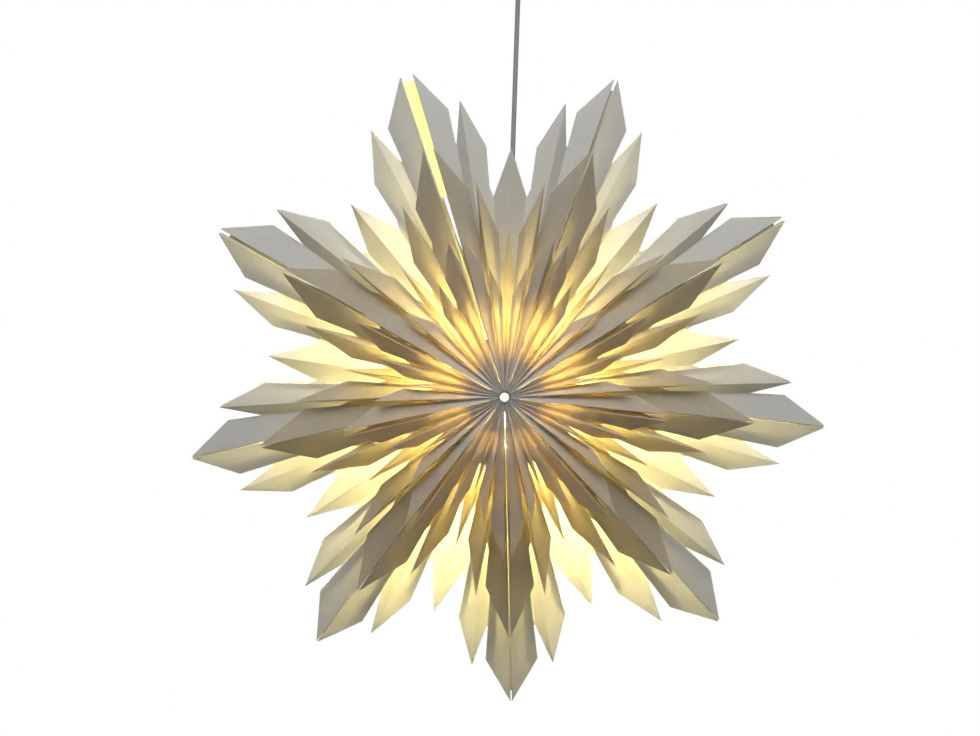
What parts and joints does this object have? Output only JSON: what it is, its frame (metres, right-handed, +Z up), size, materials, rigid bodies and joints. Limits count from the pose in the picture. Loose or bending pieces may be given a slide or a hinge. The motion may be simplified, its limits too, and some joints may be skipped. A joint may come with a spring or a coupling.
{
  "type": "paper star pendant lamp",
  "caption": "Folded paper star lamp with rings of pointed leaves round a small lamp, hung by a straight cord from a ceiling canopy.",
  "frame": {"origin": "on the ceiling, in the middle of the bracket's top face, above the cord", "axes": "+Z up along the cord, -Y towards the viewer of the star's front, +X right"},
  "size_m": [0.6888, 0.2106, 0.8705],
  "materials": {
    "white_paper": "matt white paper, folded, lit from inside",
    "paste_card": "pasted white card",
    "hook_loop": "white hook and loop tape",
    "washer_card": "grey-white card",
    "rivet_plastic": "white nylon, moulded",
    "stirrup_wire": "bright zinc-plated wire",
    "holder_plastic": "white moulded thermoplastic",
    "carrier_ceramic": "white porcelain",
    "contact_brass": "bright brass",
    "lamp_cap_metal": "nickel-plated, rolled thread",
    "lamp_tip": "dark insulator with a tinned tip",
    "lamp_glass": "clear blown glass",
    "filament": "warm light-emitting sticks on a stem",
    "cord_sheath": "grey PVC sheath",
    "canopy_enamel": "white powder coat",
    "bracket_zinc": "zinc-plated pressed steel",
    "grip_plastic": "white nylon",
    "terminal_nylon": "natural nylon",
    "screw_steel": "zinc-plated steel"
  },
  "bodies": {
    "root": {"ceiling_bracket": "bracket_zinc", "canopy_cup": "canopy_enamel", "canopy_screws": "screw_steel", "cord_grip": "grip_plastic", "grip_nut": "grip_plastic", "terminal_block": "terminal_nylon", "terminal_screws": "screw_steel", "cord_tail": "cord_sheath"},
    "pendant_cord": {"mains_cord": "cord_sheath"},
    "star": {"large_leaves_1": "white_paper", "large_leaves_2": "white_paper", "large_leaves_3": "white_paper", "large_leaves_4": "white_paper", "large_leaves_5": "white_paper", "large_leaves_6": "white_paper", "large_leaves_7": "white_paper", "large_leaves_8": "white_paper", "large_leaves_9": "white_paper", "medium_leaves_1": "white_paper", "medium_leaves_2": "white_paper", "medium_leaves_3": "white_paper", "medium_leaves_4": "white_paper", "medium_leaves_5": "white_paper", "medium_leaves_6": "white_paper", "medium_leaves_7": "white_paper", "medium_leaves_8": "white_paper", "medium_leaves_9": "white_paper", "small_leaves_1": "white_paper", "small_leaves_2": "white_paper", "small_leaves_3": "white_paper", "small_leaves_4": "white_paper", "small_leaves_5": "white_paper", "small_leaves_6": "white_paper", "small_leaves_7": "white_paper", "small_leaves_8": "white_paper", "small_leaves_9": "white_paper", "side_walls_1": "white_paper", "side_walls_2": "white_paper", "side_walls_3": "white_paper", "side_walls_4": "white_paper", "side_walls_5": "white_paper", "side_walls_6": "white_paper", "side_walls_7": "white_paper", "side_walls_8": "white_paper", "side_walls_9": "white_paper", "joining_strips": "paste_card", "closure_pads": "hook_loop", "hub_washers": "washer_card", "hub_rivets": "rivet_plastic", "wire_stirrup": "stirrup_wire", "lampholder_cap": "holder_plastic", "lampholder_body": "holder_plastic", "contact_carrier": "carrier_ceramic", "screw_shell": "contact_brass", "centre_contact": "contact_brass"},
    "holder_ring": {"shade_ring": "holder_plastic"},
    "lamp": {"bulb_cap": "lamp_cap_metal", "bulb_contact": "lamp_tip", "bulb_glass": "lamp_glass", "bulb_filaments": "filament"}
  },
  "joints": [
    {"name": "cord_swing", "type": "hinge", "parent": "root", "child": "pendant_cord", "pos_m": [0, 0, -0.068], "axis": [1, 0, 0], "range_deg": [-12, 12]},
    {"name": "star_turn", "type": "hinge", "parent": "pendant_cord", "child": "star", "pos_m": [0, 0, -0.48], "axis": [0, 0, 1], "range_deg": [-180, 180]},
    {"name": "shade_ring_turn", "type": "hinge", "parent": "star", "child": "holder_ring", "pos_m": [0, 0, -0.52], "axis": [0, 0, 1], "range_deg": [0, 720]},
    {"name": "lamp_turn", "type": "hinge", "parent": "star", "child": "lamp", "pos_m": [0, 0, -0.556], "axis": [0, 0, 1], "range_deg": [-1080, 0]}
  ]
}
